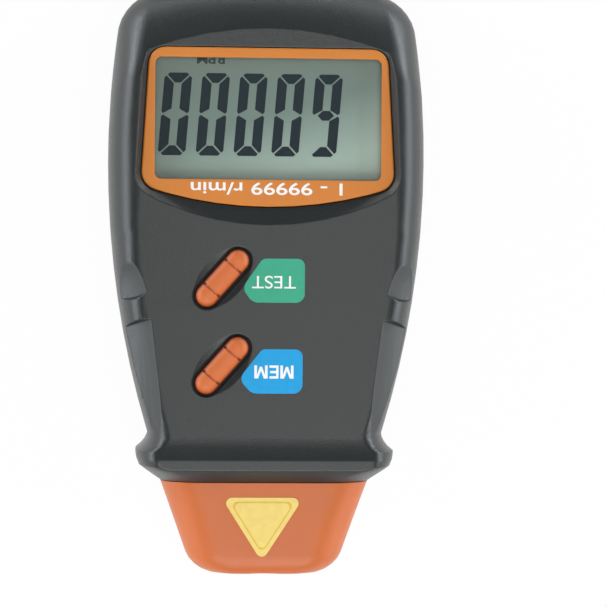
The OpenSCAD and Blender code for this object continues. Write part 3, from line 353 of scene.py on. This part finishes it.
PLASTIC = {"Specular IOR Level": 0.4}
CASE_GLOSS = {"Specular IOR Level": 0.6}
CASE_COLOR = linear(33, 36, 36)
FINISHES = {
    "case_plastic": moulded("case_plastic", CASE_COLOR, 0.36, 0.05, 0.36 * MM, 0.028 * MM, CASE_GLOSS,
                            edge=0.5 * MM, sparkle=0.6 * MM),
    "nose_plastic": moulded("nose_plastic", linear(193, 101, 51), 0.4, 0.04, 0.3 * MM, 0.01 * MM, PLASTIC),
    "bezel_plastic": moulded("bezel_plastic", linear(208, 124, 44), 0.42, 0.03, 0.25 * MM, 0.006 * MM,
                             PLASTIC),
    "key_rubber": key_rubber(),
    "black_plastic": moulded("black_plastic", linear(34, 34, 36), 0.5, 0.08, 0.3 * MM, 0.015 * MM),
    "ivory_plastic": moulded("ivory_plastic", linear(226, 218, 196), 0.45, 0.03, 0.3 * MM, 0.01 * MM),
    "red_wire": moulded("red_wire", linear(176, 34, 30), 0.4, 0.06, 0.4 * MM, 0.01 * MM),
    "black_wire": moulded("black_wire", linear(28, 28, 30), 0.4, 0.06, 0.4 * MM, 0.01 * MM),
    "sensor_epoxy": moulded("sensor_epoxy", linear(40, 24, 38), 0.2, 0.08, 0.6 * MM, 0.004 * MM),
    "display_glass": display_glass(),
    "clear_window": clear_window(),
    "contact_rubber": contact_rubber(),
    "board": circuit_board(),
    "steel": metal("steel", linear(196, 198, 200), 0.32, (1, 1, 8)),
    "brass": metal("brass", linear(206, 168, 96), 0.3, (8, 1, 8)),
    "lens_glass": lens_glass(),
    "battery_jacket": banded("battery_jacket", [linear(176, 138, 70), linear(46, 46, 52)], (0, 1, 0),
                             24.9 * MM, 25.1 * MM, 0.35),
    "capacitor_sleeve": banded("capacitor_sleeve", [linear(36, 44, 84), linear(180, 186, 196)], (1, 0, 0),
                               12 * MM, 12.2 * MM, 0.35),
}
SEGMENT_INK = print_ink("segment_ink", linear(18, 34, 42), 0.4, 0.1)
UNIT_INK = print_ink("unit_ink", linear(52, 68, 64), 0.4, 0.1)
WHITE_INK = print_ink("white_ink", linear(240, 240, 236))
GREEN_INK = print_ink("green_ink", linear(55, 164, 130))
BLUE_INK = print_ink("blue_ink", linear(10, 156, 216))
YELLOW_INK = print_ink("yellow_ink", linear(230, 203, 112))
YELLOW_LINE = print_ink("yellow_line", linear(214, 178, 66))


# Shading of the CAD nodes

def soft_shading():
    """Geometry nodes that join split corners and shade smooth across edges that aren't crisp.

    Edges of a level face have a lower limit, so that a shallow hollow keeps its rim.
    """
    group = bpy.data.node_groups.new("soft_shading", "GeometryNodeTree")
    group.interface.new_socket("Geometry", in_out="INPUT", socket_type="NodeSocketGeometry")
    group.interface.new_socket("Geometry", in_out="OUTPUT", socket_type="NodeSocketGeometry")
    start = group.nodes.new("NodeGroupInput")
    end = group.nodes.new("NodeGroupOutput")
    strip = group.nodes.new("GeometryNodeRemoveAttribute")
    strip.inputs["Name"].default_value = "custom_normal"
    weld = group.nodes.new("GeometryNodeMergeByDistance")
    weld.inputs["Distance"].default_value = WELD
    faces = group.nodes.new("GeometryNodeSetShadeSmooth")
    edges = group.nodes.new("GeometryNodeSetShadeSmooth")
    edges.domain = "EDGE"
    angle = group.nodes.new("GeometryNodeInputMeshEdgeAngle")
    flat = group.nodes.new("FunctionNodeCompare")
    flat.operation = "LESS_EQUAL"
    flat.inputs["B"].default_value = CRISP
    steep = group.nodes.new("FunctionNodeCompare")
    steep.operation = "GREATER_THAN"
    steep.inputs["B"].default_value = CRISP_ON_LEVEL
    axes = group.nodes.new("ShaderNodeSeparateXYZ")
    up = group.nodes.new("FunctionNodeCompare")
    up.operation = "GREATER_THAN"
    up.inputs["B"].default_value = LEVEL
    beside = group.nodes.new("GeometryNodeFieldOnDomain")
    beside.data_type = "BOOLEAN"
    beside.domain = "FACE"
    rim = group.nodes.new("FunctionNodeBooleanMath")
    rim.operation = "AND"
    smooth = group.nodes.new("FunctionNodeBooleanMath")
    smooth.operation = "NIMPLY"
    steps = [start, strip, weld, faces, edges, end]
    for before, after in zip(steps, steps[1:]):
        group.links.new(before.outputs["Geometry"], after.inputs["Geometry"])
    group.links.new(angle.outputs["Unsigned Angle"], flat.inputs["A"])
    group.links.new(angle.outputs["Unsigned Angle"], steep.inputs["A"])
    group.links.new(group.nodes.new("GeometryNodeInputNormal").outputs["Normal"], axes.inputs["Vector"])
    group.links.new(axes.outputs["Z"], up.inputs["A"])
    group.links.new(up.outputs["Result"], beside.inputs["Value"])
    group.links.new(beside.outputs["Value"], rim.inputs[0])
    group.links.new(steep.outputs["Result"], rim.inputs[1])
    group.links.new(flat.outputs["Result"], smooth.inputs[0])
    group.links.new(rim.outputs["Boolean"], smooth.inputs[1])
    group.links.new(smooth.outputs["Boolean"], edges.inputs["Shade Smooth"])
    return group


SOFT_SHADING = soft_shading()


def dress(node, material):
    """A CAD node's finish and smooth shading."""
    obj = NODES[node]
    obj.data.materials.clear()
    obj.data.materials.append(material)
    modifier = obj.modifiers.new("soft_shading", "NODES")
    modifier.node_group = SOFT_SHADING
    normals = obj.modifiers.new("level_faces", "WEIGHTED_NORMAL")
    normals.keep_sharp = True


for part in frame["record"]["subparts"]:
    dress(part["node"], FINISHES[part["material_slot"]])


# Pieces that the scene adds

def add_piece(name, mesh, material, body="housing"):
    obj = bpy.data.objects.new(name, mesh)
    SCENE.collection.objects.link(obj)
    mesh.materials.clear()
    mesh.materials.append(material)
    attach(obj, body)
    return obj


def corner_arc(point, before, after, radius, steps=8):
    """Points of an arc that rounds one corner of a polygon."""
    to_before = (before - point).normalized()
    to_after = (after - point).normalized()
    half = to_before.angle(to_after) / 2
    middle = point + (to_before + to_after).normalized() * (radius / math.sin(half))
    start = point + to_before * (radius / math.tan(half)) - middle
    finish = point + to_after * (radius / math.tan(half)) - middle
    turn = start.angle_signed(finish)
    first = math.atan2(start.y, start.x)
    angles = [first - turn * step / steps for step in range(steps + 1)]
    return [middle + Vector((math.cos(angle), math.sin(angle))) * radius for angle in angles]


def rounded_outline(corners, radii):
    count = len(corners)
    points = []
    for index, point in enumerate(corners):
        points += corner_arc(point, corners[index - 1], corners[(index + 1) % count], radii[index])
    return points


def plates(name, outlines, height, thickness, edge=0.0):
    """Flat plates from outlines; height gives the level of their underside at a point."""
    shape = bmesh.new()
    for outline in outlines:
        bottom = [shape.verts.new((p.x, p.y, height(p))) for p in outline]
        rings = [bottom]
        levels = [(thickness - edge, 0.0), (thickness, edge)] if edge else [(thickness, 0.0)]
        middle = sum(outline, Vector((0, 0))) / len(outline)
        for lift, inset in levels:
            ring = []
            for p in outline:
                inner = p + (middle - p).normalized() * inset
                ring.append(shape.verts.new((inner.x, inner.y, height(p) + lift)))
            rings.append(ring)
        for low, high in zip(rings, rings[1:]):
            for index in range(len(outline)):
                after = (index + 1) % len(outline)
                shape.faces.new((low[index], low[after], high[after], high[index]))
        shape.faces.new(rings[-1])
        shape.faces.new(list(reversed(bottom)))
    bmesh.ops.recalc_face_normals(shape, faces=shape.faces)
    mesh = bpy.data.meshes.new(name)
    shape.to_mesh(mesh)
    shape.free()
    return mesh


def level(z):
    return lambda point: z


def lettering(name, words, centre, size, z, material, bold=0.0):
    """Raised print that fills a given width and height, read from the tail end of the case."""
    curve = bpy.data.curves.new(name, "FONT")
    curve.body = words
    curve.extrude = TYPE_DEPTH
    curve.offset = bold
    source = bpy.data.objects.new(name + "_type", curve)
    SCENE.collection.objects.link(source)
    mesh = bpy.data.meshes.new_from_object(source.evaluated_get(bpy.context.evaluated_depsgraph_get()))
    bpy.data.objects.remove(source)
    shape = bmesh.new()
    shape.from_mesh(mesh)
    bmesh.ops.remove_doubles(shape, verts=shape.verts, dist=TYPE_WELD)
    shape.to_mesh(mesh)
    shape.free()
    low = [min(v.co[axis] for v in mesh.vertices) for axis in range(3)]
    high = [max(v.co[axis] for v in mesh.vertices) for axis in range(3)]
    for vertex in mesh.vertices:
        share = [(vertex.co[axis] - low[axis]) / (high[axis] - low[axis]) for axis in range(3)]
        vertex.co = (centre[0] - (share[0] - 0.5) * size[0], centre[1] - (share[1] - 0.5) * size[1],
                     z + share[2] * INK)
    return add_piece(name, mesh, material)


# Bold letters as outlines in a unit box, with their widths beside an E's
BLOCK_LETTERS = {
    "M": (1.46, [(0, 0), (0, 1), (0.28, 1), (0.5, 0.42), (0.72, 1), (1, 1), (1, 0), (0.8, 0), (0.8, 0.74),
                 (0.58, 0.1), (0.42, 0.1), (0.2, 0.74), (0.2, 0)]),
    "E": (1.0, [(0, 0), (0, 1), (1, 1), (1, 0.82), (0.25, 0.82), (0.25, 0.6), (0.92, 0.6), (0.92, 0.42),
                (0.25, 0.42), (0.25, 0.18), (1, 0.18), (1, 0)]),
}
BLOCK_GAP = 0.2


def block_lettering(name, words, centre, size, z, material):
    """Bold print from plain outlines, read from the tail end of the case."""
    total = sum(BLOCK_LETTERS[letter][0] + BLOCK_GAP for letter in words) - BLOCK_GAP
    start = 0.0
    outlines = []
    for letter in words:
        width, points = BLOCK_LETTERS[letter]
        outlines.append([Vector((centre[0] - ((start + x * width) / total - 0.5) * size[0],
                                 centre[1] - (y - 0.5) * size[1])) for x, y in points])
        start += width + BLOCK_GAP
    return add_piece(name, plates(name, outlines, level(z), INK), material)


def segment_outlines():
    """The seven bars of a digit, in the digit's own upright frame."""
    half_w = DIGIT_W / 2
    half_h = DIGIT_H / 2
    bar = SEGMENT_W
    cut = DIGIT_CHAMFER
    mitre = SEGMENT_GAP / math.sqrt(2)
    corner = cut / 2
    top = [(half_w - cut, half_h), (half_w - corner - mitre / 2, half_h - corner + mitre / 2),
           (half_w - bar - mitre, half_h - bar)]
    top = top + [(-x, y) for x, y in reversed(top)]
    side = [(half_w, half_h - cut), (half_w - corner + mitre / 2, half_h - corner - mitre / 2),
            (half_w - bar, half_h - bar - mitre), (half_w - bar, bar / 2 + mitre / 2),
            (half_w - SEGMENT_TIP, SEGMENT_GAP / 2), (half_w, SEGMENT_GAP / 2 + SEGMENT_TIP)]
    point = (half_w - bar / 2 - mitre / 2, 0)
    middle = [point, (half_w - bar - mitre / 2, bar / 2), (-half_w + bar + mitre / 2, bar / 2),
              (-point[0], 0), (-half_w + bar + mitre / 2, -bar / 2), (half_w - bar - mitre / 2, -bar / 2)]
    return {
        "a": top,
        "b": side,
        "c": [(x, -y) for x, y in side],
        "d": [(x, -y) for x, y in top],
        "e": [(-x, -y) for x, y in side],
        "f": [(-x, y) for x, y in side],
        "g": middle,
    }


LIT = {"0": "abcdef", "6": "acdefg"}


def display_digits():
    bars = segment_outlines()
    outlines = []
    for index, digit in enumerate(DIGITS):
        centre = Vector((FIRST_DIGIT_X - DIGIT_PITCH * index, DISPLAY_Y + DIGIT_RISE))
        for bar in LIT[digit]:
            outlines.append([centre - Vector((x + y * DIGIT_SLANT, y)) for x, y in bars[bar]])
    mesh = plates("lcd_segments", outlines, level(LCD_TOP), INK)
    add_piece("lcd_segments", mesh, SEGMENT_INK)
    lettering("lcd_unit", "RPM", (-12.6 * MM, 47.1 * MM), (6.1 * MM, 2.0 * MM), LCD_TOP, UNIT_INK,
              BOLD_UNIT)


def key_tags():
    for name, corners, ink in (("test_tag", TEST_TAG, GREEN_INK), ("mem_tag", MEM_TAG, BLUE_INK)):
        outline = rounded_outline([Vector(corner) * MM for corner in corners], TAG_ROUNDS)
        add_piece(name, plates(name, [outline], level(FACE_Z), TAG_T, TAG_T / 2), ink)
    top = FACE_Z + TAG_T
    lettering("test_legend", "TEST", (1.35 * MM, -1.4 * MM), (9.5 * MM, 2.75 * MM), top, WHITE_INK)
    block_lettering("mem_legend", "MEM", (1.5 * MM, -20.85 * MM), (8.5 * MM, 2.85 * MM), top, WHITE_INK)


def range_legend():
    lettering("range_legend", "1 - 99999 r/min", (-0.3 * MM, 18.9 * MM), (33 * MM, 2.7 * MM), BEZEL_TOP,
              WHITE_INK, BOLD_LEGEND)


def nose_plate():
    def on_nose(point):
        return PARTING_Z + NOSE_HALF_H - (NOSE_JOINT_Y - point.y) * NOSE_FALL

    corners = [Vector((PLATE_X - PLATE_W / 2, PLATE_EDGE_Y)), Vector((PLATE_X + PLATE_W / 2, PLATE_EDGE_Y)),
               Vector((PLATE_X, PLATE_POINT_Y))]
    sides = [(after - before).length for before, after in zip(corners, corners[1:] + corners[:1])]
    reach = abs((corners[1] - corners[0]).cross(corners[2] - corners[0])) / sum(sides)
    middle = (corners[0] * sides[1] + corners[1] * sides[2] + corners[2] * sides[0]) / sum(sides)
    for name, inset, lift, ink in (("nose_plate", 0, 0, YELLOW_INK),
                                   ("nose_plate_line", PLATE_MARGIN, INK, YELLOW_LINE),
                                   ("nose_plate_field", PLATE_MARGIN + PLATE_LINE, 2 * INK, YELLOW_INK)):
        share = 1 - inset / reach
        outline = rounded_outline([middle + (corner - middle) * share for corner in corners],
                                  [PLATE_ROUND * share] * 3)
        add_piece(name, plates(name, [outline], on_nose, PLATE_T + lift, PLATE_T / 3), ink)


display_digits()
key_tags()
range_legend()
nose_plate()


# Floor, light and camera

def floor():
    """Pale floor that the camera and reflections see as near white, with the object's soft shadow on it."""
    material = bpy.data.materials.new("pale_floor")
    material.use_nodes = True
    tree = material.node_tree
    tree.nodes.remove(tree.nodes["Principled BSDF"])
    paths = tree.nodes.new("ShaderNodeLightPath")
    seen = tree.nodes.new("ShaderNodeMath")
    seen.operation = "MAXIMUM"
    clear = tree.nodes.new("ShaderNodeMath")
    clear.operation = "MAXIMUM"
    share = tree.nodes.new("ShaderNodeMath")
    share.operation = "MULTIPLY"
    share.inputs[1].default_value = FLOOR_WHITE
    diffuse = tree.nodes.new("ShaderNodeBsdfDiffuse")
    diffuse.inputs["Color"].default_value = (0.9, 0.9, 0.9, 1)
    glow = tree.nodes.new("ShaderNodeEmission")
    glow.inputs["Strength"].default_value = 1.0
    mix = tree.nodes.new("ShaderNodeMixShader")
    tree.links.new(paths.outputs["Is Camera Ray"], seen.inputs[0])
    tree.links.new(paths.outputs["Is Glossy Ray"], seen.inputs[1])
    tree.links.new(seen.outputs["Value"], clear.inputs[0])
    tree.links.new(paths.outputs["Is Transmission Ray"], clear.inputs[1])
    tree.links.new(clear.outputs["Value"], share.inputs[0])
    tree.links.new(share.outputs["Value"], mix.inputs["Fac"])
    tree.links.new(diffuse.outputs["BSDF"], mix.inputs[1])
    tree.links.new(glow.outputs["Emission"], mix.inputs[2])
    tree.links.new(mix.outputs["Shader"], tree.nodes["Material Output"].inputs["Surface"])
    shape = bmesh.new()
    bmesh.ops.create_grid(shape, x_segments=1, y_segments=1, size=FLOOR_SIZE)
    mesh = bpy.data.meshes.new("floor")
    shape.to_mesh(mesh)
    shape.free()
    mesh.materials.append(material)
    obj = bpy.data.objects.new("floor", mesh)
    obj.location.z = CAD_BOX[0][2] - FLOOR_GAP
    SCENE.collection.objects.link(obj)


def area_lamp(name, place, size, power, color):
    """A soft lamp of a given width and height, aimed at the middle of the case."""
    lamp = bpy.data.lights.new(name, "AREA")
    lamp.shape = "RECTANGLE"
    lamp.size, lamp.size_y = size
    lamp.energy = power
    lamp.color = color
    obj = bpy.data.objects.new(name, lamp)
    obj.location = place
    obj.rotation_euler = (Vector((0, 0, VIEW_POINT.z)) - Vector(place)).to_track_quat("-Z", "Y").to_euler()
    obj.visible_camera = False
    SCENE.collection.objects.link(obj)


def light():
    world = bpy.data.worlds.new("studio")
    world.use_nodes = True
    world.node_tree.nodes["Background"].inputs["Color"].default_value = WORLD_COLOR
    SCENE.world = world
    for name, lamp in LAMPS.items():
        area_lamp(name, *lamp)
    for name, side in (("left", -1), ("right", 1)):
        for ending, ((x, y, z), size, power, color) in SIDE_LAMPS.items():
            area_lamp(name + ending, (side * x, y, z), size, power, color)


def camera():
    data = bpy.data.cameras.new("camera")
    data.sensor_width = SENSOR_WIDTH
    data.lens = SENSOR_WIDTH * CAMERA_DISTANCE / VIEW_WIDTH
    data.clip_start = 0.01
    obj = bpy.data.objects.new("camera", data)
    turn = Euler((0, -CAMERA_LEAN, CAMERA_ROLL))
    obj.rotation_euler = turn
    obj.location = VIEW_POINT + turn.to_matrix() @ Vector((0, 0, CAMERA_DISTANCE))
    SCENE.collection.objects.link(obj)
    SCENE.camera = obj


floor()
light()
camera()
SCENE.view_settings.view_transform = "Standard"
